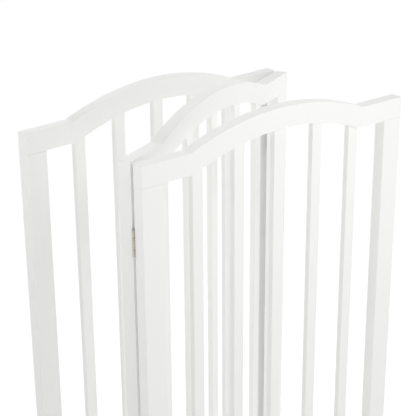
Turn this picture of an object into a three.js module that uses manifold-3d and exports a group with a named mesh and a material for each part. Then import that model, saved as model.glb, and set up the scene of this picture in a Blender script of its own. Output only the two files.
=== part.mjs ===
// Free-standing folding pet gate: three arched picket panels of painted wood, joined in a
// Z by two vertical lines of butt hinges. Millimetres, +Z up, feet on z = 0.
//
// Every panel is built in its own frame: x along its width from the left end, y through its
// thickness from the front face, z up from the floor. Three nested groups then stand the
// panels at their fold angles, and the outer group centres the gate over the origin.

import * as THREE from 'three';
import { mergeVertices } from 'three/addons/utils/BufferGeometryUtils.js';
import Module from 'manifold-3d';

const wasm = await Module();
wasm.setup();

// ---------------------------------------------------------------- driving dimensions

const PANEL_WIDTH = 508;
const GATE_HEIGHT = 914;
const THICKNESS = 20;
const STILE_WIDTH = 36;
const RAIL_DEPTH = 33;
const GLUE_GAP = 0.3;

// Arched top rail: level shoulders, then one large arc that rises in the middle.
const ARCH_RISE = 33;
const SHOULDER_LENGTH = 86;
const TOP_FILLET = 15;
const UNDER_FILLET = 20;
const ARC_STEPS = 8;

// Pickets
const SLAT_COUNT = 5;
const SLAT_WIDTH = 19;
const SLAT_THICKNESS = 9.5;
const SLAT_PITCH = 76.8;
const TENON_LENGTH = 12;

// Bottom rail
const BOTTOM_RAIL_CLEARANCE = 40;

// Corner dowels
const DOWEL_RADIUS = 4;
const DOWEL_LENGTH = 40;
const DOWEL_SIDES = 12;

// Nail-on glides under the stiles
const FOOT_HEIGHT = 4;
const FOOT_RADIUS = 8.5;
const FOOT_EDGE = 0.8;
const NAIL_RADIUS = 1.5;
const NAIL_LENGTH = 13;
const FOOT_SIDES = 24;

// Butt hinges: the pin stands off the ends and the faces of the two stiles it joins.
const HINGE_HEIGHT = 42;
const HINGE_FROM_SHOULDER = 119;
const PIN_BEYOND_END = 1.5;
const PIN_OFF_FACE = 1.8;
const LEAF_REACH = 19;
const LEAF_THICKNESS = 1;
const BARREL_RADIUS = 2.1;
const BARREL_SIDES = 16;
const KNUCKLE_GAP = 0.3;
const MIDDLE_KNUCKLE = 17.6;
const NOTCH_FROM_PIN = 2.7;
const PIN_RADIUS = 1;
const PIN_HEAD_RADIUS = 1.7;
const PIN_HEAD_HEIGHT = 0.5;
const BORE_RADIUS = 1.1;

// Fold angles of the gate as it stands
const FRONT_FOLD = THREE.MathUtils.degToRad(23);
const REAR_FOLD = THREE.MathUtils.degToRad(20);

// Worked out from the above
const SHOULDER_TOP = GATE_HEIGHT - ARCH_RISE;
const SHOULDER_UNDER = SHOULDER_TOP - RAIL_DEPTH;
const HALF_ARCH = PANEL_WIDTH / 2 - SHOULDER_LENGTH;
const ARCH_RADIUS = (HALF_ARCH ** 2 + ARCH_RISE ** 2) / (2 * ARCH_RISE);
const UNDER_RADIUS = ARCH_RADIUS - RAIL_DEPTH;
const ARCH_CENTRE = new THREE.Vector2(PANEL_WIDTH / 2, GATE_HEIGHT - ARCH_RADIUS);
const BOTTOM_RAIL_TOP = BOTTOM_RAIL_CLEARANCE + RAIL_DEPTH;
const STILE_BOTTOM = FOOT_HEIGHT + GLUE_GAP;
const HINGE_HEIGHTS = {
  upper: SHOULDER_TOP - HINGE_FROM_SHOULDER,
  lower: HINGE_FROM_SHOULDER,
};

// ---------------------------------------------------------------- materials

const paintedWood = new THREE.MeshStandardMaterial({
  color: 0xf1f1ee, roughness: 0.45, metalness: 0,
});
const rawBeech = new THREE.MeshStandardMaterial({
  color: 0xcfae82, roughness: 0.75, metalness: 0,
});
const hingeSteel = new THREE.MeshStandardMaterial({
  color: 0xb5aa9c, roughness: 0.38, metalness: 0.9,
});
const glidePlastic = new THREE.MeshStandardMaterial({
  color: 0xd9d8d2, roughness: 0.6, metalness: 0,
});

// ---------------------------------------------------------------- solids

// A closed geometry as a manifold solid, keeping only its positions.
function solid(geometry) {
  const bare = geometry.clone();
  bare.deleteAttribute('normal');
  bare.deleteAttribute('uv');
  const merged = mergeVertices(bare, 1e-4);
  return new wasm.Manifold(new wasm.Mesh({
    numProp: 3,
    vertProperties: new Float32Array(merged.attributes.position.array),
    triVerts: new Uint32Array(merged.index.array),
  }));
}

function geometryOf(manifold) {
  const mesh = manifold.getMesh();
  const geometry = new THREE.BufferGeometry();
  geometry.setAttribute('position', new THREE.BufferAttribute(mesh.vertProperties, 3));
  geometry.setIndex(new THREE.BufferAttribute(mesh.triVerts, 1));
  geometry.computeVertexNormals();
  return geometry;
}

function cut(geometry, cutters) {
  const result = cutters.reduce((body, tool) => body.subtract(solid(tool)), solid(geometry));
  return geometryOf(result);
}

// A box from its low corner and its size.
function block(low, size) {
  const geometry = new THREE.BoxGeometry(...size);
  return geometry.translate(...low.map((value, k) => value + size[k] / 2));
}

// A cylinder about its centre, along z or along x.
function rod(radius, length, sides, centre, alongX = false) {
  const geometry = new THREE.CylinderGeometry(radius, radius, length, sides);
  geometry.rotateX(Math.PI / 2);
  if (alongX) geometry.rotateY(Math.PI / 2);
  return geometry.translate(...centre);
}

function named(name, geometry, material) {
  const mesh = new THREE.Mesh(geometry, material);
  mesh.name = name;
  return mesh;
}

// ---------------------------------------------------------------- top rail

// One edge of the arched rail from left to right as a path: level, fillet, arc, fillet, level.
// The fillet touches the level line from above and the arc from outside.
function archEdge(path, level, radius, fillet) {
  const centre = ARCH_CENTRE;
  const rise = level + fillet - centre.y;
  const run = Math.sqrt((radius + fillet) ** 2 - rise ** 2);
  const lean = Math.atan2(run, rise);
  const up = Math.PI / 2;
  path.lineTo(centre.x - run, level);
  path.absarc(centre.x - run, level + fillet, fillet, -up, lean - up, false);
  path.absarc(centre.x, centre.y, radius, up + lean, up - lean, true);
  path.absarc(centre.x + run, level + fillet, fillet, -up - lean, -up, false);
}

function railOutline() {
  const under = new THREE.Path();
  under.moveTo(0, SHOULDER_UNDER);
  archEdge(under, SHOULDER_UNDER, UNDER_RADIUS, UNDER_FILLET);
  under.lineTo(PANEL_WIDTH, SHOULDER_UNDER);
  const top = new THREE.Path();
  top.moveTo(0, SHOULDER_TOP);
  archEdge(top, SHOULDER_TOP, ARCH_RADIUS, TOP_FILLET);
  top.lineTo(PANEL_WIDTH, SHOULDER_TOP);
  return new THREE.Shape([
    ...under.getPoints(ARC_STEPS),
    ...top.getPoints(ARC_STEPS).reverse(),
  ]);
}

// Height of the rail's underside at a distance along the panel.
function undersideAt(x) {
  const run = x - ARCH_CENTRE.x;
  return ARCH_CENTRE.y + Math.sqrt(UNDER_RADIUS ** 2 - run ** 2);
}

function slatCentres() {
  const middle = (SLAT_COUNT - 1) / 2;
  return Array.from({ length: SLAT_COUNT }, (_, i) => (
    PANEL_WIDTH / 2 + (i - middle) * SLAT_PITCH
  ));
}

// Socket for a slat's end, a glue gap larger all round.
function mortise(centre, from, to) {
  const width = SLAT_WIDTH + 2 * GLUE_GAP;
  const depth = SLAT_THICKNESS + 2 * GLUE_GAP;
  const low = [centre - width / 2, (THICKNESS - depth) / 2, from];
  return block(low, [width, depth, to - from]);
}

function dowelHole(centre, alongX = false) {
  const length = DOWEL_LENGTH + 2 * GLUE_GAP;
  return rod(DOWEL_RADIUS + GLUE_GAP, length, DOWEL_SIDES, centre, alongX);
}

function topDowelCentre(x) {
  return [x, THICKNESS / 2, SHOULDER_UNDER - GLUE_GAP / 2];
}

function bottomDowelCentre(x) {
  return [x, THICKNESS / 2, BOTTOM_RAIL_CLEARANCE + RAIL_DEPTH / 2];
}

function topRail() {
  const blank = new THREE.ExtrudeGeometry(railOutline(), {
    depth: THICKNESS, bevelEnabled: false,
  });
  blank.rotateX(Math.PI / 2);
  blank.translate(0, THICKNESS, 0);
  const sockets = slatCentres().map((x) => {
    const end = undersideAt(x) + TENON_LENGTH + GLUE_GAP;
    return mortise(x, end - 3 * TENON_LENGTH, end);
  });
  const holes = [STILE_WIDTH / 2, PANEL_WIDTH - STILE_WIDTH / 2].map(
    (x) => dowelHole(topDowelCentre(x)),
  );
  return cut(blank, [...sockets, ...holes]);
}

// ---------------------------------------------------------------- the rest of a panel

function bottomRail() {
  const length = PANEL_WIDTH - 2 * STILE_WIDTH - 2 * GLUE_GAP;
  const low = [STILE_WIDTH + GLUE_GAP, 0, BOTTOM_RAIL_CLEARANCE];
  const blank = block(low, [length, THICKNESS, RAIL_DEPTH]);
  const floor = BOTTOM_RAIL_TOP - TENON_LENGTH - GLUE_GAP;
  const sockets = slatCentres().map((x) => mortise(x, floor, BOTTOM_RAIL_TOP + TENON_LENGTH));
  const holes = [STILE_WIDTH, PANEL_WIDTH - STILE_WIDTH].map(
    (x) => dowelHole(bottomDowelCentre(x), true),
  );
  return cut(blank, [...sockets, ...holes]);
}

// A stile, bored for the two dowels that hold its rails and for the nail of its glide.
function stile(left) {
  const x = left ? 0 : PANEL_WIDTH - STILE_WIDTH;
  const inner = left ? STILE_WIDTH : PANEL_WIDTH - STILE_WIDTH;
  const height = SHOULDER_UNDER - GLUE_GAP - STILE_BOTTOM;
  const blank = block([x, 0, STILE_BOTTOM], [STILE_WIDTH, THICKNESS, height]);
  const middle = x + STILE_WIDTH / 2;
  const nailTop = FOOT_HEIGHT + NAIL_LENGTH + GLUE_GAP;
  const nailHole = rod(
    NAIL_RADIUS + GLUE_GAP, 2 * nailTop, DOWEL_SIDES, [middle, THICKNESS / 2, 0],
  );
  return cut(blank, [
    dowelHole(topDowelCentre(middle)),
    dowelHole(bottomDowelCentre(inner), true),
    nailHole,
  ]);
}

function slat(x) {
  const low = BOTTOM_RAIL_TOP - TENON_LENGTH;
  const high = undersideAt(x) + TENON_LENGTH;
  const corner = [x - SLAT_WIDTH / 2, (THICKNESS - SLAT_THICKNESS) / 2, low];
  return block(corner, [SLAT_WIDTH, SLAT_THICKNESS, high - low]);
}

// Nail-on glide: a disc with a broken lower edge and a nail that goes up into the stile.
function foot(x) {
  const outline = [
    [0, 0],
    [FOOT_RADIUS - FOOT_EDGE, 0],
    [FOOT_RADIUS, FOOT_EDGE],
    [FOOT_RADIUS, FOOT_HEIGHT],
    [NAIL_RADIUS, FOOT_HEIGHT],
    [NAIL_RADIUS, FOOT_HEIGHT + NAIL_LENGTH - NAIL_RADIUS],
    [0, FOOT_HEIGHT + NAIL_LENGTH],
  ].map(([r, z]) => new THREE.Vector2(r, z));
  const geometry = new THREE.LatheGeometry(outline, FOOT_SIDES);
  geometry.rotateX(Math.PI / 2);
  return geometry.translate(x, THICKNESS / 2, 0);
}

function buildPanel(panel) {
  const group = new THREE.Group();
  const add = (piece, geometry, material) => {
    group.add(named(`${panel}_${piece}`, geometry, material));
  };
  add('top_rail', topRail(), paintedWood);
  add('bottom_rail', bottomRail(), paintedWood);
  slatCentres().forEach((x, i) => add(`slat_${i + 1}`, slat(x), paintedWood));
  for (const side of ['left', 'right']) {
    const isLeft = side === 'left';
    const middle = isLeft ? STILE_WIDTH / 2 : PANEL_WIDTH - STILE_WIDTH / 2;
    const inner = isLeft ? STILE_WIDTH : PANEL_WIDTH - STILE_WIDTH;
    const topDowel = rod(DOWEL_RADIUS, DOWEL_LENGTH, DOWEL_SIDES, topDowelCentre(middle));
    const bottomDowel = rod(
      DOWEL_RADIUS, DOWEL_LENGTH, DOWEL_SIDES, bottomDowelCentre(inner), true,
    );
    add(`${side}_stile`, stile(isLeft), paintedWood);
    add(`${side}_top_dowel`, topDowel, rawBeech);
    add(`${side}_bottom_dowel`, bottomDowel, rawBeech);
    add(`${side}_foot`, foot(middle), glidePlastic);
  }
  return group;
}

// ---------------------------------------------------------------- hinges

// A leaf lies along +x from the pin, on the -y side. Its plate stops short of the pin where
// the other leaf's knuckles are, and runs in to wrap the pin at its own.
function leaf(knuckles) {
  const plateY = -PIN_OFF_FACE + GLUE_GAP;
  const half = HINGE_HEIGHT / 2;
  const plate = block(
    [NOTCH_FROM_PIN, plateY, -half],
    [LEAF_REACH - NOTCH_FROM_PIN, LEAF_THICKNESS, HINGE_HEIGHT],
  );
  let body = solid(plate);
  for (const [low, high] of knuckles) {
    const arm = block([0, plateY, low], [NOTCH_FROM_PIN + 1, LEAF_THICKNESS, high - low]);
    const barrel = rod(BARREL_RADIUS, high - low, BARREL_SIDES, [0, 0, (low + high) / 2]);
    body = body.add(solid(arm)).add(solid(barrel));
  }
  const bore = rod(BORE_RADIUS, 2 * HINGE_HEIGHT, BARREL_SIDES, [0, 0, 0]);
  return geometryOf(body.subtract(solid(bore)));
}

const OUTER_KNUCKLES = [
  [-HINGE_HEIGHT / 2, -MIDDLE_KNUCKLE / 2 - KNUCKLE_GAP],
  [MIDDLE_KNUCKLE / 2 + KNUCKLE_GAP, HINGE_HEIGHT / 2],
];
const INNER_KNUCKLES = [[-MIDDLE_KNUCKLE / 2, MIDDLE_KNUCKLE / 2]];

function hingePin() {
  const end = HINGE_HEIGHT / 2;
  const headLow = end + KNUCKLE_GAP;
  const outline = [
    [0, -end],
    [PIN_RADIUS, -end],
    [PIN_RADIUS, headLow],
    [PIN_HEAD_RADIUS, headLow],
    [PIN_HEAD_RADIUS, headLow + PIN_HEAD_HEIGHT / 2],
    [PIN_RADIUS, headLow + PIN_HEAD_HEIGHT],
    [0, headLow + PIN_HEAD_HEIGHT],
  ].map(([r, z]) => new THREE.Vector2(r, z));
  return new THREE.LatheGeometry(outline, BARREL_SIDES).rotateX(Math.PI / 2);
}

// Where a panel's hinge pin stands: beyond its left or right end, off its front or back face.
function pinPlace(left, front) {
  return new THREE.Vector2(
    left ? -PIN_BEYOND_END : PANEL_WIDTH + PIN_BEYOND_END,
    front ? -PIN_OFF_FACE : THICKNESS + PIN_OFF_FACE,
  );
}

// Screws a leaf to a panel. Leaves are the same upside down, so half turns make every hand.
function addLeaf(group, name, knuckles, left, front, height) {
  const mesh = named(name, leaf(knuckles), hingeSteel);
  const place = pinPlace(left, front);
  mesh.position.set(place.x, place.y, height);
  if (left && front) mesh.rotation.x = Math.PI;
  if (!left && !front) mesh.rotation.y = Math.PI;
  if (!left && front) mesh.rotation.z = Math.PI;
  group.add(mesh);
}

// A line of hinges: the outer leaves and pins go on one panel's back face, the inner leaves
// on the next panel's front face.
function addHinges(side, backPanel, frontPanel) {
  const left = side === 'left';
  for (const [level, height] of Object.entries(HINGE_HEIGHTS)) {
    const hinge = `${side}_${level}_hinge`;
    addLeaf(backPanel, `${hinge}_outer_leaf`, OUTER_KNUCKLES, left, false, height);
    addLeaf(frontPanel, `${hinge}_inner_leaf`, INNER_KNUCKLES, left, true, height);
    const pin = named(`${hinge}_pin`, hingePin(), hingeSteel);
    const place = pinPlace(left, false);
    pin.position.set(place.x, place.y, height);
    backPanel.add(pin);
  }
}

// ---------------------------------------------------------------- assembly

// Stands a panel so that its front-face hinge pin meets the back-face pin of the one before.
function hang(panel, turn, before, left) {
  const origin = new THREE.Vector2(0, 0);
  const pin = pinPlace(left, false).rotateAround(origin, before.rotation.z);
  pin.add(new THREE.Vector2(before.position.x, before.position.y));
  const own = pinPlace(left, true).rotateAround(origin, turn);
  panel.rotation.z = turn;
  panel.position.set(pin.x - own.x, pin.y - own.y, 0);
}

const front = buildPanel('front');
const middle = buildPanel('middle');
const rear = buildPanel('rear');
addHinges('left', front, middle);
addHinges('right', middle, rear);
hang(middle, FRONT_FOLD, front, true);
hang(rear, FRONT_FOLD - REAR_FOLD, middle, false);

const standing = new THREE.Group();
standing.add(front, middle, rear);
standing.updateMatrixWorld(true);
const centre = new THREE.Box3().setFromObject(standing, true).getCenter(new THREE.Vector3());
standing.position.set(-centre.x, -centre.y, 0);

const gate = new THREE.Group();
gate.name = 'pet_gate';
gate.add(standing);

export default gate;
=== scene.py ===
"""Looks of a white folding pet gate: three arched picket panels on butt hinges.

Metres, +Z up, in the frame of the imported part. Every piece is modelled once in a panel's own
frame (x along the panel from its left end, y from its front face to its back, z up from the
floor) or about a hinge's pin, and then set down at each place that the frame gives for it.
"""
import math
import random

import bmesh
import bpy
from mathutils import Matrix, Vector


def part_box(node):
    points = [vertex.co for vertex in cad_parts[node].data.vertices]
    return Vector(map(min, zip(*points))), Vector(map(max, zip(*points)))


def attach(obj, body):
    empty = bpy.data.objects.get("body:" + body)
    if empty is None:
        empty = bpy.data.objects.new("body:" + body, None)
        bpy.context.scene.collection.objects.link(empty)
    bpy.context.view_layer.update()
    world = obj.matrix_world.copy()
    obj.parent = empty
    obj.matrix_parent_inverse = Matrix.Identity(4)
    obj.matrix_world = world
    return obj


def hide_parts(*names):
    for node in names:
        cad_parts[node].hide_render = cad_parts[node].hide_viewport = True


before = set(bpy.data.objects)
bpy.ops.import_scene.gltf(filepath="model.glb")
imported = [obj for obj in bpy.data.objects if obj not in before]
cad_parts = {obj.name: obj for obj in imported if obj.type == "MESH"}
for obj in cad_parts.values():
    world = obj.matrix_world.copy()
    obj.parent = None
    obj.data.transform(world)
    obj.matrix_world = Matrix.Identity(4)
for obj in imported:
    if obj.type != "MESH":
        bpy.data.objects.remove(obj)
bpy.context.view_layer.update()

MM = 0.001

# ---------------------------------------------------------------- sizes from the frame

PANELS = ("front", "middle", "rear")
SIDES = ("left", "right")
LEVELS = ("upper", "lower")
SLATS = range(1, 6)

RAIL_LOW, RAIL_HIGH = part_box("front_top_rail")
PANEL_CORNER = Vector((RAIL_LOW.x, RAIL_LOW.y, 0))


def front_box(piece):
    """Low and high corners of a piece of the front panel, in that panel's own frame."""
    low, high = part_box("front_" + piece)
    return low - PANEL_CORNER, high - PANEL_CORNER


def centre_of(node):
    low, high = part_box(node)
    return (low + high) / 2


PANEL_WIDTH = RAIL_HIGH.x - RAIL_LOW.x
THICKNESS = RAIL_HIGH.y - RAIL_LOW.y
STILE_WIDTH = front_box("left_stile")[1].x
SHOULDER_UNDER = RAIL_LOW.z
CROWN = RAIL_HIGH.z
HINGE_HALF = (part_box("left_upper_hinge_outer_leaf")[1].z
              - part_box("left_upper_hinge_outer_leaf")[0].z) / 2

# ---------------------------------------------------------------- the design's own sizes

ARCH_RISE = 33 * MM
SHOULDER_LENGTH = 86 * MM
TOP_FILLET = 15 * MM
UNDER_FILLET = 20 * MM
SHOULDER_TOP = CROWN - ARCH_RISE
RAIL_DEPTH = SHOULDER_TOP - SHOULDER_UNDER

EASE = 0.8 * MM          # rounding of the sanded long edges
SLAT_EASE = 0.6 * MM
JOINT_EASE = 0.4 * MM    # edges that meet in a glued joint stay sharper
JOINT_LINE = 0.12 * MM   # hairline that the paint leaves open where two boards meet
EASE_STEPS = 4
SNUG = 0.04 * MM         # room round a tenon or dowel

DOWEL_RADIUS = 4 * MM
DOWEL_HALF = 20 * MM
DOWEL_CHAMFER = 0.8 * MM
FLUTES = 10
FLUTE_DEPTH = 0.25 * MM
FOOT_RADIUS = 8.5 * MM
FOOT_HEIGHT = 4 * MM
FOOT_ROUND = 1 * MM
NAIL_RADIUS = 1.5 * MM
NAIL_LENGTH = 13 * MM

PIN_OFF_FACE = 1.8 * MM
LEAF_GAP = 0.05 * MM
LEAF_REACH = 19 * MM
LEAF_THICKNESS = 1.15 * MM
LEAF_CORNER = 2 * MM
BARREL_RADIUS = 2.1 * MM
KNUCKLE_GAP = 0.3 * MM
KNUCKLE_SOFT = 0.35 * MM   # rounding of a knuckle's ends
MIDDLE_KNUCKLE = 17.6 * MM
NOTCH_FROM_PIN = 2.7 * MM
ARM_SUNK = 0.02 * MM     # how far a knuckle's arm lies under the face of its plate
PIN_RADIUS = 1 * MM
BORE_RADIUS = 1.06 * MM
PIN_CHAMFER = 0.2 * MM
PIN_HEAD_RADIUS = 1.7 * MM
PIN_HEAD_HEIGHT = 0.5 * MM
METAL_EASE = 0.18 * MM

SCREW_FROM_PIN = 11.5 * MM
SCREW_FROM_MIDDLE = 13 * MM
SCREW_HEAD_RADIUS = 2.8 * MM
SCREW_RADIUS = 1.3 * MM
SCREW_LENGTH = 13 * MM
SCREW_SUNK = 0.12 * MM
RECESS_RADIUS = 1.5 * MM
RECESS_DEPTH = 0.9 * MM
RECESS_WIDTH = 0.55 * MM
SCREW_TWIST = 0.6        # radians that the first screw of a leaf is turned by
SCREW_TWIST_STEP = 1.1   # and how much further each next one is

ALONG_X = 0              # axes of a panel's own frame that its boards run along
ALONG_Z = 2
TINY = 0.01 * MM         # closer than this is the same place
WELD = 0.001 * MM        # vertices closer than this are joined

ROUND_STEPS = 48
DOME_STEPS = 8
METAL_EASE_STEPS = 2
CORNER_STEP = math.radians(15)
ARC_STEP = math.radians(0.7)
FILLET_STEP = math.radians(4)
SHARP = math.radians(38)


# ---------------------------------------------------------------- mesh tools

def mesh_object(name, mesh):
    piece = bpy.data.objects.new(name, mesh)
    bpy.context.scene.collection.objects.link(piece)
    return piece


def evaluated(piece):
    """The mesh of an object with its modifiers applied; the object itself is removed."""
    graph = bpy.context.evaluated_depsgraph_get()
    mesh = bpy.data.meshes.new_from_object(piece.evaluated_get(graph))
    bpy.data.objects.remove(piece)
    return mesh


def mesh_of(name, bm):
    bmesh.ops.recalc_face_normals(bm, faces=bm.faces)
    mesh = bpy.data.meshes.new(name)
    bm.to_mesh(mesh)
    bm.free()
    return mesh


def prism(outline, direction):
    """Closed bmesh of a flat outline of points, carried along a direction."""
    bm = bmesh.new()
    low = [bm.verts.new(point) for point in outline]
    high = [bm.verts.new(Vector(point) + direction) for point in outline]
    bm.faces.new(low)
    bm.faces.new(reversed(high))
    for i, vertex in enumerate(low):
        after = (i + 1) % len(low)
        bm.faces.new((vertex, high[i], high[after], low[after]))
    return bm


def block(low, high):
    """Closed bmesh of a box from its low and high corners."""
    outline = [(low[0], low[1], low[2]), (high[0], low[1], low[2]),
               (high[0], high[1], low[2]), (low[0], high[1], low[2])]
    return prism(outline, Vector((0, 0, high[2] - low[2])))


def lathe(profile):
    """Closed bmesh of a profile of (radius, height) points turned about z. The first and last
    points lie on the axis."""
    bm = bmesh.new()
    bottom = bm.verts.new((0, 0, profile[0][1]))
    top = bm.verts.new((0, 0, profile[-1][1]))
    turns = [2 * math.pi * k / ROUND_STEPS for k in range(ROUND_STEPS)]
    rings = [[bm.verts.new((r * math.cos(t), r * math.sin(t), z)) for t in turns]
             for r, z in profile[1:-1]]
    for k in range(ROUND_STEPS):
        after = (k + 1) % ROUND_STEPS
        bm.faces.new((bottom, rings[0][after], rings[0][k]))
        bm.faces.new((top, rings[-1][k], rings[-1][after]))
        for below, above in zip(rings, rings[1:]):
            bm.faces.new((below[k], below[after], above[after], above[k]))
    return bm


def rod(radius, low, high):
    return lathe([(0, low), (radius, low), (radius, high), (0, high)])


def turned(bm, matrix):
    bmesh.ops.transform(bm, matrix=matrix, verts=bm.verts)
    return bm


def eased(name, bm, ease_of, steps=EASE_STEPS):
    """Rounds every edge of a bmesh by the radius that ease_of gives for it."""
    layer = bm.edges.layers.float.new("bevel_weight_edge")
    radii = [ease_of(edge) for edge in bm.edges]
    widest = max(radii)
    for edge, radius in zip(bm.edges, radii):
        edge[layer] = radius / widest
    piece = mesh_object(name, mesh_of(name, bm))
    bevel = piece.modifiers.new("ease", "BEVEL")
    bevel.limit_method = "WEIGHT"
    bevel.width = widest
    bevel.segments = steps
    bevel.miter_outer = "MITER_SHARP"
    return evaluated(piece)


def combined(mesh, tools, operation):
    """A mesh with other meshes cut from it or joined to it."""
    piece = mesh_object(mesh.name, mesh)
    others = []
    for tool in tools:
        other = mesh_object("tool", tool)
        others.append(other)
        change = piece.modifiers.new("boolean", "BOOLEAN")
        change.operation = operation
        change.solver = "EXACT"
        change.object = other
    result = evaluated(piece)
    for other in others:
        bpy.data.objects.remove(other)
    return result


def smooth(mesh):
    """Smooth faces, with the edges that turn sharply marked sharp."""
    bm = bmesh.new()
    bm.from_mesh(mesh)
    bmesh.ops.remove_doubles(bm, verts=bm.verts, dist=WELD)
    for face in bm.faces:
        face.smooth = True
    for edge in bm.edges:
        edge.smooth = len(edge.link_faces) == 2 and edge.calc_face_angle(math.pi) < SHARP
    bm.to_mesh(mesh)
    bm.free()
    return mesh


# ---------------------------------------------------------------- top rail

HALF_ARCH = PANEL_WIDTH / 2 - SHOULDER_LENGTH
ARCH_RADIUS = (HALF_ARCH ** 2 + ARCH_RISE ** 2) / (2 * ARCH_RISE)
ARCH_X = PANEL_WIDTH / 2
ARCH_Z = CROWN - ARCH_RADIUS
UNDER_RADIUS = ARCH_RADIUS - RAIL_DEPTH


def arc(x, z, radius, start, stop, step):
    """Points of an arc in the panel's plane, angles from +x towards +z, ends included."""
    count = max(2, round(abs(stop - start) / step))
    turns = [start + (stop - start) * k / count for k in range(count + 1)]
    return [(x + radius * math.cos(t), z + radius * math.sin(t)) for t in turns]


def arch_edge(level, radius, fillet):
    """The arched stretch of one edge of the rail, left to right: fillet, arc, fillet."""
    rise = level + fillet - ARCH_Z
    run = math.sqrt((radius + fillet) ** 2 - rise ** 2)
    lean = math.atan2(run, rise)
    up = math.pi / 2
    points = arc(ARCH_X - run, level + fillet, fillet, -up, lean - up, FILLET_STEP)
    points += arc(ARCH_X, ARCH_Z, radius, up + lean, up - lean, ARC_STEP)[1:-1]
    points += arc(ARCH_X + run, level + fillet, fillet, -up - lean, -up, FILLET_STEP)
    return points


def tenon_cutter(low, high):
    """A slat's own shape, a little larger, to cut its socket with."""
    return slat_mesh(low, high, SNUG)


def top_rail_mesh():
    under = [(0, SHOULDER_UNDER), (STILE_WIDTH, SHOULDER_UNDER)]
    under += arch_edge(SHOULDER_UNDER, UNDER_RADIUS, UNDER_FILLET)
    under += [(PANEL_WIDTH - STILE_WIDTH, SHOULDER_UNDER), (PANEL_WIDTH, SHOULDER_UNDER)]
    top = [(0, SHOULDER_TOP)] + arch_edge(SHOULDER_TOP, ARCH_RADIUS, TOP_FILLET)
    top += [(PANEL_WIDTH, SHOULDER_TOP)]
    outline = [(x, 0, z) for x, z in under + top[::-1]]
    bm = prism(outline, Vector((0, THICKNESS, 0)))

    def ease_of(edge):
        """Edges over a stile's end are sharper, and the curve's own facets aren't eased."""
        a, b = (v.co for v in edge.verts)
        middle = (a + b) / 2
        from_end = min(middle.x, PANEL_WIDTH - middle.x)
        low = middle.z < SHOULDER_UNDER + TINY
        across = abs(a.y - b.y) > THICKNESS / 2
        if across and from_end > TINY:
            return 0
        if low and (across or from_end < STILE_WIDTH - TINY):
            return JOINT_EASE
        return EASE

    mesh = eased("top_rail", bm, ease_of)
    cutters = [tenon_cutter(*front_box(f"slat_{i}")) for i in SLATS]
    cutters += [dowel_cutter("left_top_dowel"), dowel_cutter("right_top_dowel")]
    return combined(mesh, cutters, "DIFFERENCE")


# ---------------------------------------------------------------- straight boards

def board_mesh(name, low, high, along, ease, end_ease):
    """A straight board with eased long edges. end_ease gives the easing of an end edge from
    its middle point."""
    def ease_of(edge):
        a, b = (v.co for v in edge.verts)
        return ease if abs(a[along] - b[along]) > TINY else end_ease((a + b) / 2)

    return eased(name, block(low, high), ease_of)


def slat_mesh(low, high, grow=0.0):
    margin = Vector((grow, grow, grow))
    ease = SLAT_EASE + grow
    return board_mesh("slat", low - margin, high + margin, ALONG_Z, ease,
                      lambda p: JOINT_EASE)


def dowel_cutter(name):
    low, high = front_box(name)
    middle = (low + high) / 2
    size = high - low
    along_x = size.x > size.z
    bm = rod(DOWEL_RADIUS + SNUG, -DOWEL_HALF - SNUG, DOWEL_HALF + SNUG)
    if along_x:
        turned(bm, Matrix.Rotation(math.pi / 2, 4, "Y"))
    return mesh_of("cutter", turned(bm, Matrix.Translation(middle)))


def nail_cutter(side):
    low, high = front_box(f"{side}_foot")
    middle = (low + high) / 2
    bm = rod(NAIL_RADIUS + SNUG, 0, high.z + SNUG)
    return mesh_of("cutter", turned(bm, Matrix.Translation((middle.x, middle.y, 0))))


def stile_mesh(side):
    low, high = front_box(f"{side}_stile")
    high.z = SHOULDER_UNDER - JOINT_LINE
    low.z = FOOT_HEIGHT
    middle = (low.z + high.z) / 2
    mesh = board_mesh(f"{side}_stile", low, high, ALONG_Z, EASE,
                      lambda p: EASE if p.z < middle else JOINT_EASE)
    cutters = [dowel_cutter(f"{side}_top_dowel"), dowel_cutter(f"{side}_bottom_dowel"),
               nail_cutter(side)]
    return combined(mesh, cutters, "DIFFERENCE")


def bottom_rail_mesh():
    low, high = front_box("bottom_rail")
    low.x = STILE_WIDTH + JOINT_LINE
    high.x = PANEL_WIDTH - STILE_WIDTH - JOINT_LINE
    mesh = board_mesh("bottom_rail", low, high, ALONG_X, EASE, lambda p: JOINT_EASE)
    cutters = [tenon_cutter(*front_box(f"slat_{i}")) for i in SLATS]
    cutters += [dowel_cutter("left_bottom_dowel"), dowel_cutter("right_bottom_dowel")]
    return combined(mesh, cutters, "DIFFERENCE")


# ---------------------------------------------------------------- dowels and glides

def dowel_mesh():
    """A beech dowel with chamfered ends and a fluted side, about z."""
    steps = FLUTES * 6
    bm = bmesh.new()
    levels = [(-DOWEL_HALF, -DOWEL_CHAMFER), (-DOWEL_HALF + DOWEL_CHAMFER, 0),
              (DOWEL_HALF - DOWEL_CHAMFER, 0), (DOWEL_HALF, -DOWEL_CHAMFER)]
    rings = []
    for z, shrink in levels:
        ring = []
        for k in range(steps):
            turn = 2 * math.pi * k / steps
            wave = FLUTE_DEPTH * (0.5 + 0.5 * math.cos(FLUTES * turn))
            radius = DOWEL_RADIUS + shrink - wave
            ring.append(bm.verts.new((radius * math.cos(turn), radius * math.sin(turn), z)))
        rings.append(ring)
    bm.faces.new(reversed(rings[0]))
    bm.faces.new(rings[-1])
    for below, above in zip(rings, rings[1:]):
        for k in range(steps):
            after = (k + 1) % steps
            bm.faces.new((below[k], below[after], above[after], above[k]))
    return smooth(mesh_of("dowel", bm))


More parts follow.
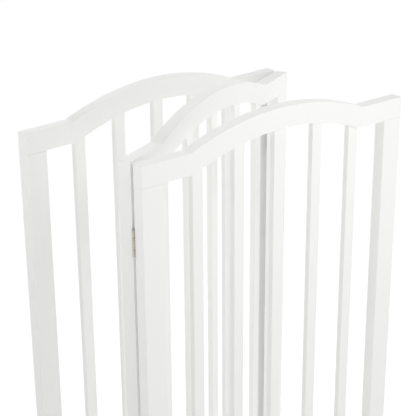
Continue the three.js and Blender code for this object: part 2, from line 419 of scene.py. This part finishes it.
def foot_mesh():
    """A nail-on glide: rounded disc and nail."""
    steps = 6
    corner = [(FOOT_RADIUS - FOOT_ROUND + FOOT_ROUND * math.sin(t),
               FOOT_ROUND - FOOT_ROUND * math.cos(t))
              for t in (math.pi / 2 * k / steps for k in range(steps + 1))]
    shoulder = [(FOOT_RADIUS - FOOT_ROUND / 2 + FOOT_ROUND / 2 * math.cos(t),
                 FOOT_HEIGHT - FOOT_ROUND / 2 + FOOT_ROUND / 2 * math.sin(t))
                for t in (math.pi / 2 * k / steps for k in range(steps + 1))]
    profile = [(0, 0), *corner, *shoulder, (NAIL_RADIUS, FOOT_HEIGHT),
               (NAIL_RADIUS, FOOT_HEIGHT + NAIL_LENGTH - 2 * NAIL_RADIUS),
               (0, FOOT_HEIGHT + NAIL_LENGTH)]
    return smooth(mesh_of("foot", lathe(profile)))


# ---------------------------------------------------------------- hinges

def knuckle_spans(outer):
    """Low and high ends of a leaf's knuckles: two on an outer leaf, one on an inner."""
    if outer:
        edge = MIDDLE_KNUCKLE / 2 + KNUCKLE_GAP
        return [(-HINGE_HALF, -edge), (edge, HINGE_HALF)]
    return [(-MIDDLE_KNUCKLE / 2, MIDDLE_KNUCKLE / 2)]


def plate_outline(y):
    """The plate's outline at one side, with its two far corners rounded."""
    reach = LEAF_REACH - LEAF_CORNER
    edge = HINGE_HALF - LEAF_CORNER
    points = [(NOTCH_FROM_PIN, -HINGE_HALF)]
    points += arc(reach, -edge, LEAF_CORNER, -math.pi / 2, 0, CORNER_STEP)
    points += arc(reach, edge, LEAF_CORNER, 0, math.pi / 2, CORNER_STEP)
    points += [(NOTCH_FROM_PIN, HINGE_HALF)]
    return [(x, y, z) for x, z in points]


def screw_places():
    return [Vector((SCREW_FROM_PIN, 0, side * SCREW_FROM_MIDDLE)) for side in (-1, 1)]


def countersink():
    """Cutter for a screw's countersunk hole, about z, with the leaf's open side at z = 0."""
    cone = SCREW_HEAD_RADIUS + SNUG
    rim = 0.2 * MM
    return lathe([(0, -LEAF_THICKNESS - MM), (SCREW_RADIUS + 2 * SNUG, -LEAF_THICKNESS - MM),
                  (SCREW_RADIUS + 2 * SNUG, SCREW_RADIUS - cone), (cone, -rim / 2),
                  (cone, MM), (0, MM)])


def knuckle(low, high):
    """One knuckle with softly rounded ends."""
    face = BARREL_RADIUS - KNUCKLE_SOFT
    bend = BARREL_RADIUS - KNUCKLE_SOFT * 0.3
    return mesh_of("knuckle", lathe([
        (0, low), (face, low), (bend, low + KNUCKLE_SOFT * 0.3),
        (BARREL_RADIUS, low + KNUCKLE_SOFT), (BARREL_RADIUS, high - KNUCKLE_SOFT),
        (bend, high - KNUCKLE_SOFT * 0.3), (face, high), (0, high)]))


def leaf_mesh(outer):
    """A leaf along +x from its pin, its back LEAF_GAP off the wood on the -y side."""
    back = -PIN_OFF_FACE + LEAF_GAP
    open_side = back + LEAF_THICKNESS
    bm = prism(plate_outline(back), Vector((0, LEAF_THICKNESS, 0)))
    mesh = eased("leaf", bm, lambda edge: METAL_EASE, METAL_EASE_STEPS)
    spans = knuckle_spans(outer)
    arms = [mesh_of("arm", block((0, back, low + METAL_EASE),
                                 (NOTCH_FROM_PIN + MM, open_side - ARM_SUNK,
                                  high - METAL_EASE)))
            for low, high in spans]
    mesh = combined(mesh, arms + [knuckle(low, high) for low, high in spans], "UNION")
    holes = [mesh_of("bore", rod(BORE_RADIUS, -2 * HINGE_HALF, 2 * HINGE_HALF))]
    facing = Matrix.Rotation(-math.pi / 2, 4, "X")
    for place in screw_places():
        spot = Matrix.Translation((place.x, open_side, place.z))
        holes.append(mesh_of("hole", turned(countersink(), spot @ facing)))
    return smooth(combined(mesh, holes, "DIFFERENCE"))


def pin_mesh():
    """The hinge pin, about z, with a domed head above the top knuckle."""
    low_end = -HINGE_HALF
    head = HINGE_HALF + KNUCKLE_GAP
    dome = [(PIN_HEAD_RADIUS * math.cos(t), head + PIN_HEAD_HEIGHT * math.sin(t))
            for t in (math.pi / 2 * k / DOME_STEPS for k in range(1, DOME_STEPS))]
    profile = [(0, low_end), (PIN_RADIUS - PIN_CHAMFER, low_end),
               (PIN_RADIUS, low_end + PIN_CHAMFER),
               (PIN_RADIUS, head), (PIN_HEAD_RADIUS, head), *dome,
               (0, head + PIN_HEAD_HEIGHT)]
    return smooth(mesh_of("pin", lathe(profile)))


def screw_mesh():
    """A countersunk screw with a cross recess, about z, its head's face at z = 0."""
    cone = SCREW_HEAD_RADIUS
    rim = 0.15 * MM
    neck = SCREW_RADIUS - cone - rim
    profile = [(0, -SCREW_LENGTH), (0.25 * SCREW_RADIUS, -SCREW_LENGTH + 0.3 * MM),
               (SCREW_RADIUS, -SCREW_LENGTH + 3 * SCREW_RADIUS), (SCREW_RADIUS, neck),
               (cone, -rim), (cone - rim / 2, 0), (0, 0)]
    body = mesh_of("screw", lathe(profile))
    half = RECESS_WIDTH / 2
    arms = []
    for turn in (0, math.pi / 2):
        outline = [(-RECESS_RADIUS, 0, MM), (RECESS_RADIUS, 0, MM),
                   (RECESS_RADIUS, 0, 0), (RECESS_RADIUS * 0.3, 0, -RECESS_DEPTH),
                   (-RECESS_RADIUS * 0.3, 0, -RECESS_DEPTH), (-RECESS_RADIUS, 0, 0)]
        bm = prism([Vector(p) - Vector((0, half, 0)) for p in outline],
                   Vector((0, 2 * half, 0)))
        arms.append(mesh_of("recess", turned(bm, Matrix.Rotation(turn, 4, "Z"))))
    return smooth(combined(body, arms, "DIFFERENCE"))


# ---------------------------------------------------------------- materials

NOISE_LOW = 0.3          # nearly all of a noise's values lie between these
NOISE_HIGH = 0.7

# Noise scales are waves per metre; the boards' are along, across and through the board.
GRAIN_SCALE = (9, 260, 260)
BRUSH_SCALE = (25, 900, 900)
PEEL_SCALE = 900
PAINT_CLOUD_SCALE = 7
GRAIN_HEIGHT = 0.05 * MM
BRUSH_HEIGHT = 0.02 * MM
PEEL_HEIGHT = 0.02 * MM
PAINT_ROUGHNESS = (0.40, 0.50)
PAINT_LIGHT = (0.904, 0.906, 0.881)
PAINT_SHADE = (0.892, 0.894, 0.868)

BEECH_SCALE = (900, 900, 60)
BEECH_DARK = (0.50, 0.33, 0.18)
BEECH_LIGHT = (0.70, 0.52, 0.33)
BEECH_ROUGHNESS = (0.65, 0.8)

DRAWN_SCALE = (2600, 2600, 130)
METAL_CLOUD_SCALE = 160
DRAWN_HEIGHT = 0.008 * MM
NICKEL_LIGHT = (0.487, 0.452, 0.387)
NICKEL_DARK = (0.414, 0.385, 0.33)
NICKEL_ROUGHNESS = (0.31, 0.44)
SCREW_LIGHT = (0.68, 0.64, 0.58)
SCREW_DARK = (0.60, 0.56, 0.50)
SCREW_ROUGHNESS = (0.21, 0.34)

PEBBLE_SCALE = 2400
PLASTIC_CLOUD_SCALE = 90
PEBBLE_HEIGHT = 0.02 * MM
PLASTIC_DARK = (0.60, 0.59, 0.55)
PLASTIC_LIGHT = (0.66, 0.65, 0.61)
PLASTIC_ROUGHNESS = (0.5, 0.62)


def new_material(name):
    material = bpy.data.materials.new(name)
    material.use_nodes = True
    nodes = material.node_tree.nodes
    shader = nodes["Principled BSDF"]
    return material, nodes, material.node_tree.links, shader


def noise(nodes, links, vector, scale, detail, roughness=0.5, distortion=0.0):
    node = nodes.new("ShaderNodeTexNoise")
    node.inputs["Scale"].default_value = scale
    node.inputs["Detail"].default_value = detail
    node.inputs["Roughness"].default_value = roughness
    node.inputs["Distortion"].default_value = distortion
    links.new(vector, node.inputs["Vector"])
    return node.outputs["Fac"]


def stretched(nodes, links, vector, scale):
    node = nodes.new("ShaderNodeMapping")
    node.inputs["Scale"].default_value = scale
    links.new(vector, node.inputs["Vector"])
    return node.outputs["Vector"]


def ranged(nodes, links, value, low, high):
    """A noise value spread over low to high."""
    node = nodes.new("ShaderNodeMapRange")
    node.inputs["From Min"].default_value = NOISE_LOW
    node.inputs["From Max"].default_value = NOISE_HIGH
    node.inputs["To Min"].default_value = low
    node.inputs["To Max"].default_value = high
    links.new(value, node.inputs["Value"])
    return node.outputs["Result"]


def mixed(nodes, links, factor, colour_a, colour_b):
    node = nodes.new("ShaderNodeMix")
    node.data_type = "RGBA"
    node.inputs["A"].default_value = (*colour_a, 1)
    node.inputs["B"].default_value = (*colour_b, 1)
    links.new(factor, node.inputs["Factor"])
    return node.outputs["Result"]


def bumped(nodes, links, height, distance, under=None):
    """A bump of a noise height, on top of another bump where one is given."""
    node = nodes.new("ShaderNodeBump")
    node.inputs["Strength"].default_value = 1
    node.inputs["Distance"].default_value = distance
    links.new(height, node.inputs["Height"])
    if under is not None:
        links.new(under, node.inputs["Normal"])
    return node.outputs["Normal"]


def board_vector(nodes):
    """Board coordinates: x along the grain, y across the face, z through the board."""
    node = nodes.new("ShaderNodeAttribute")
    node.attribute_name = "board"
    return node.outputs["Vector"]


def object_vector(nodes):
    return nodes.new("ShaderNodeTexCoord").outputs["Object"]


def painted_wood():
    """Satin white paint over smooth softwood: faint grain and brush lines along each board
    under a fine orange peel."""
    material, nodes, links, shader = new_material("painted_wood")
    board = board_vector(nodes)
    where = object_vector(nodes)
    grain = noise(nodes, links, stretched(nodes, links, board, GRAIN_SCALE), 1, 4, 0.6, 0.4)
    brush = noise(nodes, links, stretched(nodes, links, board, BRUSH_SCALE), 1, 2)
    peel = noise(nodes, links, where, PEEL_SCALE, 2)
    cloud = noise(nodes, links, where, PAINT_CLOUD_SCALE, 3)
    normal = bumped(nodes, links, grain, GRAIN_HEIGHT)
    normal = bumped(nodes, links, brush, BRUSH_HEIGHT, normal)
    normal = bumped(nodes, links, peel, PEEL_HEIGHT, normal)
    links.new(normal, shader.inputs["Normal"])
    tone = ranged(nodes, links, cloud, 0, 1)
    links.new(mixed(nodes, links, tone, PAINT_SHADE, PAINT_LIGHT), shader.inputs["Base Color"])
    links.new(ranged(nodes, links, grain, *PAINT_ROUGHNESS), shader.inputs["Roughness"])
    return material


def beech():
    """Raw beech with its grain along the dowel."""
    material, nodes, links, shader = new_material("dowel_beech")
    where = object_vector(nodes)
    grain = noise(nodes, links, stretched(nodes, links, where, BEECH_SCALE), 1, 4, 0.6)
    links.new(mixed(nodes, links, ranged(nodes, links, grain, 0, 1), BEECH_DARK, BEECH_LIGHT),
              shader.inputs["Base Color"])
    links.new(ranged(nodes, links, grain, *BEECH_ROUGHNESS), shader.inputs["Roughness"])
    links.new(bumped(nodes, links, grain, GRAIN_HEIGHT), shader.inputs["Normal"])
    return material


def nickel_steel(name, light, dark, roughness):
    """Satin nickel plate over pressed steel, with a faint drawn grain and cloudy polish."""
    material, nodes, links, shader = new_material(name)
    shader.inputs["Metallic"].default_value = 1
    where = object_vector(nodes)
    drawn = noise(nodes, links, stretched(nodes, links, where, DRAWN_SCALE), 1, 3)
    cloud = noise(nodes, links, where, METAL_CLOUD_SCALE, 3)
    links.new(mixed(nodes, links, ranged(nodes, links, cloud, 0, 1), dark, light),
              shader.inputs["Base Color"])
    links.new(ranged(nodes, links, drawn, *roughness), shader.inputs["Roughness"])
    links.new(bumped(nodes, links, drawn, DRAWN_HEIGHT), shader.inputs["Normal"])
    return material


def glide_plastic():
    """Off-white moulded plastic with a fine pebbled skin."""
    material, nodes, links, shader = new_material("glide_plastic")
    where = object_vector(nodes)
    pebble = noise(nodes, links, where, PEBBLE_SCALE, 2)
    cloud = noise(nodes, links, where, PLASTIC_CLOUD_SCALE, 2)
    links.new(mixed(nodes, links, ranged(nodes, links, cloud, 0, 1), PLASTIC_DARK, PLASTIC_LIGHT),
              shader.inputs["Base Color"])
    links.new(ranged(nodes, links, pebble, *PLASTIC_ROUGHNESS), shader.inputs["Roughness"])
    links.new(bumped(nodes, links, pebble, PEBBLE_HEIGHT), shader.inputs["Normal"])
    return material


PAINT = painted_wood()
BEECH = beech()
NICKEL = nickel_steel("hinge_nickel", NICKEL_LIGHT, NICKEL_DARK, NICKEL_ROUGHNESS)
SCREW_STEEL = nickel_steel("screw_nickel", SCREW_LIGHT, SCREW_DARK, SCREW_ROUGHNESS)
GLIDE = glide_plastic()


# ---------------------------------------------------------------- placing

GRAIN_SPREAD = 3   # metres of noise over which the boards' grain is spread


def panel_place(panel):
    """Matrix from a panel's own frame to the part's, from the centres of its two feet."""
    left = centre_of(f"{panel}_left_foot")
    right = centre_of(f"{panel}_right_foot")
    turn = Matrix.Rotation(math.atan2(right.y - left.y, right.x - left.x), 4, "Z")
    own = Vector((STILE_WIDTH / 2, THICKNESS / 2, left.z))
    return Matrix.Translation(left - turn @ own) @ turn


def grain_offset(node):
    """Where in the grain a board was cut from: another place for each board."""
    draw = random.Random(node)
    return Vector([draw.uniform(0, GRAIN_SPREAD) for _ in range(3)])


def board_attribute(mesh, along, offset):
    """Stores where each vertex lies on its board, for the grain: x along, y across."""
    order = {ALONG_X: (0, 2, 1), ALONG_Z: (2, 0, 1)}[along]
    attribute = mesh.attributes.new("board", "FLOAT_VECTOR", "POINT")
    for vertex, value in zip(mesh.vertices, attribute.data):
        value.vector = Vector([vertex.co[k] for k in order]) + offset


def add_piece(name, mesh, matrix, body, node, material):
    """Sets down a copy of a mesh as a piece that rides on a body and stands for a node, where
    one is given."""
    copy = mesh.copy()
    copy.name = name
    copy.transform(matrix)
    copy.materials.clear()
    copy.materials.append(material)
    piece = mesh_object(name, copy)
    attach(piece, body)
    if node is not None:
        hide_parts(node)
    return piece


def add_board(panel, piece, mesh, along, place):
    """Sets down a painted board, with its grain stored before it is turned into place."""
    node = f"{panel}_{piece}"
    added = add_piece(f"painted_{node}", mesh, Matrix.Identity(4), f"{panel}_panel",
                      node, PAINT)
    board_attribute(added.data, along, grain_offset(node))
    added.data.transform(place)
    weighted = added.modifiers.new("flat_faces", "WEIGHTED_NORMAL")
    weighted.keep_sharp = True


def build_wood():
    rails = {"top_rail": smooth(top_rail_mesh()), "bottom_rail": smooth(bottom_rail_mesh())}
    uprights = {f"{side}_stile": smooth(stile_mesh(side)) for side in SIDES}
    for i in SLATS:
        uprights[f"slat_{i}"] = smooth(slat_mesh(*front_box(f"slat_{i}")))
    for panel in PANELS:
        place = panel_place(panel)
        for piece, mesh in rails.items():
            add_board(panel, piece, mesh, ALONG_X, place)
        for piece, mesh in uprights.items():
            add_board(panel, piece, mesh, ALONG_Z, place)


def build_hidden_and_feet():
    dowel = dowel_mesh()
    foot = foot_mesh()
    lying = Matrix.Rotation(math.pi / 2, 4, "Y")
    for panel in PANELS:
        place = panel_place(panel)
        turn = place.to_3x3().to_4x4()
        for side in SIDES:
            for end in ("top", "bottom"):
                node = f"{panel}_{side}_{end}_dowel"
                matrix = Matrix.Translation(centre_of(node)) @ turn
                if end == "bottom":
                    matrix = matrix @ lying
                add_piece(f"beech_{node}", dowel, matrix, f"{panel}_panel", node, BEECH)
            node = f"{panel}_{side}_foot"
            middle = centre_of(node)
            matrix = Matrix.Translation((middle.x, middle.y, 0))
            add_piece(f"glide_{node}", foot, matrix, f"{panel}_panel", node, GLIDE)


def leaf_turn(left, front):
    """The half turn that gives a leaf its hand: it points away from the pin along the panel,
    with its back to the panel's front or back face."""
    if left and not front:
        return Matrix.Identity(4)
    if left and front:
        return Matrix.Rotation(math.pi, 4, "X")
    return Matrix.Rotation(math.pi, 4, "Z" if front else "Y")


def build_hinges():
    """Outer leaves and pins go on the nearer panel's back face, inner leaves on the next
    panel's front face."""
    leaves = {"outer": leaf_mesh(True), "inner": leaf_mesh(False)}
    pin = pin_mesh()
    screw = screw_mesh()
    open_side = -PIN_OFF_FACE + LEAF_GAP + LEAF_THICKNESS
    facing = Matrix.Rotation(-math.pi / 2, 4, "X")
    for side, back_panel, front_panel in (("left", "front", "middle"),
                                          ("right", "middle", "rear")):
        for level in LEVELS:
            hinge = f"{side}_{level}_hinge"
            axis = centre_of(f"{hinge}_pin")
            axis.z = centre_of(f"{hinge}_outer_leaf").z
            for kind, panel in (("outer", back_panel), ("inner", front_panel)):
                turn = panel_place(panel).to_3x3().to_4x4()
                hand = leaf_turn(side == "left", kind == "inner")
                place = Matrix.Translation(axis) @ turn @ hand
                node = f"{hinge}_{kind}_leaf"
                add_piece(f"plated_{node}", leaves[kind], place, f"{panel}_panel", node,
                          NICKEL)
                for k, spot in enumerate(screw_places()):
                    at = Matrix.Translation((spot.x, open_side - SCREW_SUNK, spot.z))
                    twist = Matrix.Rotation(SCREW_TWIST + SCREW_TWIST_STEP * k, 4, "Z")
                    add_piece(f"{node}_screw_{k + 1}", screw, place @ at @ facing @ twist,
                              f"{panel}_panel", None, SCREW_STEEL)
            add_piece(f"plated_{hinge}_pin", pin, Matrix.Translation(axis),
                      f"{back_panel}_panel", f"{hinge}_pin", NICKEL)


# ---------------------------------------------------------------- camera, floor and light

CAMERA_AZIMUTH = math.radians(-38.69)
CAMERA_PITCH = math.radians(21.94)
CAMERA_ROLL = math.radians(-0.378)
CAMERA_SENSOR = 36
CAMERA_LENS = 105.03
CAMERA_FROM_CORNER = Vector((-0.8868, -1.2500, 0.5562))   # from the front panel's shoulder

FLOOR_HALF_SIZE = 400
FLOOR_THICKNESS = 0.02
FLOOR_WHITE = (0.96, 0.96, 0.96, 1)
FLOOR_ROUGHNESS = 0.9
FLOOR_SPECULAR = 0.1
FLOOR_GLOW = 0.712
ROOM_GLOW = 1.354
ROOM_GLOW_SIDE = Vector((1, 1, 0)).normalized()
WHITE = (1, 1, 1, 1)
SOFT_TONE = 1.5          # view gamma: lifts the shadows between the boards
SOFTBOX_SPREAD = math.radians(70)
SOFTBOXES = {            # name: place, target, size, power
    "front_softbox": ((0.1, -1.2, 1.75), (0.1, -0.1, 0.75), 0.7, 1.17),
    "front_right_softbox": ((1.1, -1.3, 1.5), (0.1, 0, 1.15), 0.7, 0.62),
    "low_right_softbox": ((1.3, -1.7, 0.9), (0.1, 0, 0.75), 0.7, 1.02),
    "back_softbox": ((0.5, 1.5, 1.9), (0.1, 0, 0.8), 0.8, 0.84),
    "left_softbox": ((-1.15, -0.25, 1.7), (-0.15, 0, 1.15), 0.6, 0.83),
    "far_left_softbox": ((-2.2, -0.12, 2.0), (0, -0.1, 0.8), 0.4, 1.02),
}


def looking(azimuth, pitch):
    """Matrix of a camera that looks along an azimuth, tilted down by a pitch."""
    back = Vector((math.sin(azimuth) * math.cos(pitch), -math.cos(azimuth) * math.cos(pitch),
                   math.sin(pitch)))
    return back.to_track_quat("Z", "Y").to_matrix().to_4x4()


def build_camera():
    camera = bpy.data.objects.new("camera", bpy.data.cameras.new("camera"))
    bpy.context.scene.collection.objects.link(camera)
    camera.data.lens = CAMERA_LENS
    camera.data.sensor_width = CAMERA_SENSOR
    corner = Vector((PANEL_CORNER.x, PANEL_CORNER.y, SHOULDER_TOP))
    roll = Matrix.Rotation(CAMERA_ROLL, 4, "Z")
    spot = Matrix.Translation(corner + CAMERA_FROM_CORNER)
    camera.matrix_world = spot @ looking(CAMERA_AZIMUTH, CAMERA_PITCH) @ roll
    bpy.context.scene.camera = camera


def build_floor():
    reach = FLOOR_HALF_SIZE
    bm = block((-reach, -reach, -FLOOR_THICKNESS), (reach, reach, 0))
    floor = mesh_object("floor", mesh_of("floor", bm))
    material, _, _, shader = new_material("floor_white")
    shader.inputs["Roughness"].default_value = FLOOR_ROUGHNESS
    shader.inputs["Specular IOR Level"].default_value = FLOOR_SPECULAR
    shader.inputs["Base Color"].default_value = FLOOR_WHITE
    shader.inputs["Emission Color"].default_value = WHITE
    shader.inputs["Emission Strength"].default_value = FLOOR_GLOW
    floor.data.materials.append(material)


def area_light(name, spot, target, size, power):
    light = bpy.data.lights.new(name, "AREA")
    light.shape = "SQUARE"
    light.size = size
    light.energy = power
    light.spread = SOFTBOX_SPREAD
    lamp = bpy.data.objects.new(name, light)
    bpy.context.scene.collection.objects.link(lamp)
    lamp.matrix_world = (Matrix.Translation(spot)
                         @ (spot - target).to_track_quat("Z", "Y").to_matrix().to_4x4())


def build_world():
    """The pale room round the gate: it glows most behind the gate and to its right."""
    world = bpy.data.worlds.new("studio")
    bpy.context.scene.world = world
    world.use_nodes = True
    nodes, links = world.node_tree.nodes, world.node_tree.links
    facing = nodes.new("ShaderNodeVectorMath")
    facing.operation = "DOT_PRODUCT"
    facing.inputs[1].default_value = ROOM_GLOW * ROOM_GLOW_SIDE
    links.new(nodes.new("ShaderNodeTexCoord").outputs["Generated"], facing.inputs[0])
    glow = nodes.new("ShaderNodeMath")
    glow.operation = "MAXIMUM"
    glow.inputs[1].default_value = 0
    links.new(facing.outputs["Value"], glow.inputs[0])
    links.new(glow.outputs[0], nodes["Background"].inputs["Strength"])
    nodes["Background"].inputs["Color"].default_value = WHITE


def build_studio():
    view = bpy.context.scene.view_settings
    view.view_transform = "Standard"
    view.gamma = SOFT_TONE
    build_floor()
    build_world()
    for name, (spot, target, size, power) in SOFTBOXES.items():
        area_light(name, Vector(spot), Vector(target), size, power)


build_wood()
build_hidden_and_feet()
build_hinges()
build_camera()
build_studio()
